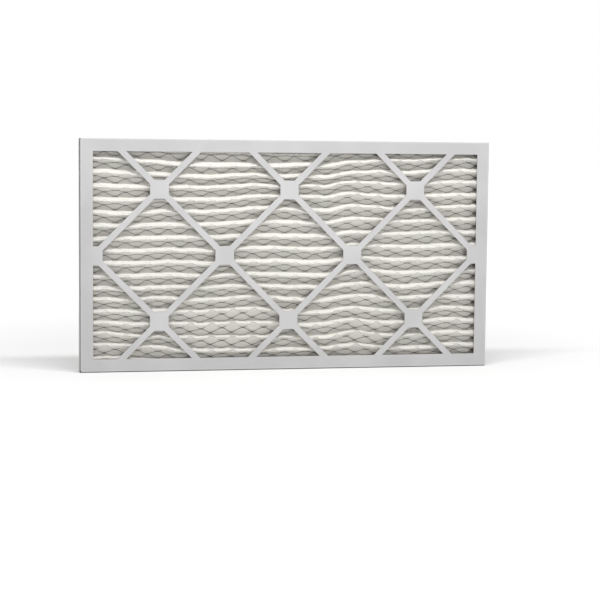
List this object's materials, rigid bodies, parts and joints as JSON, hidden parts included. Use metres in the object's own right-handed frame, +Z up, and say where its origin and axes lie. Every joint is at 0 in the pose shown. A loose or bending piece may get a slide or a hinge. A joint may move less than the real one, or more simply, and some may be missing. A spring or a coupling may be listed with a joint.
{
  "type": "pleated panel air filter",
  "caption": "Flat rectangular air filter: pleated cloth backed by expanded metal, held in a white board frame with a diagonal diamond grid on each face.",
  "frame": {"origin": "middle of the underside of the long edge that the filter stands on", "axes": "+X along the length, +Y from the front face (the one with the metal behind the grid) to the back face, +Z up across the height"},
  "size_m": [0.6224, 0.019, 0.3429],
  "materials": {
    "coated_board": "clay-coated white board with raw brown edges, satin",
    "filter_cloth": "soft nonwoven synthetic cloth, matt",
    "galvanised_steel": "thin expanded sheet, dull zinc"
  },
  "bodies": {
    "root": {"front_frame": "coated_board", "back_frame": "coated_board", "pleated_media": "filter_cloth", "support_mesh": "galvanised_steel"}
  },
  "joints": []
}
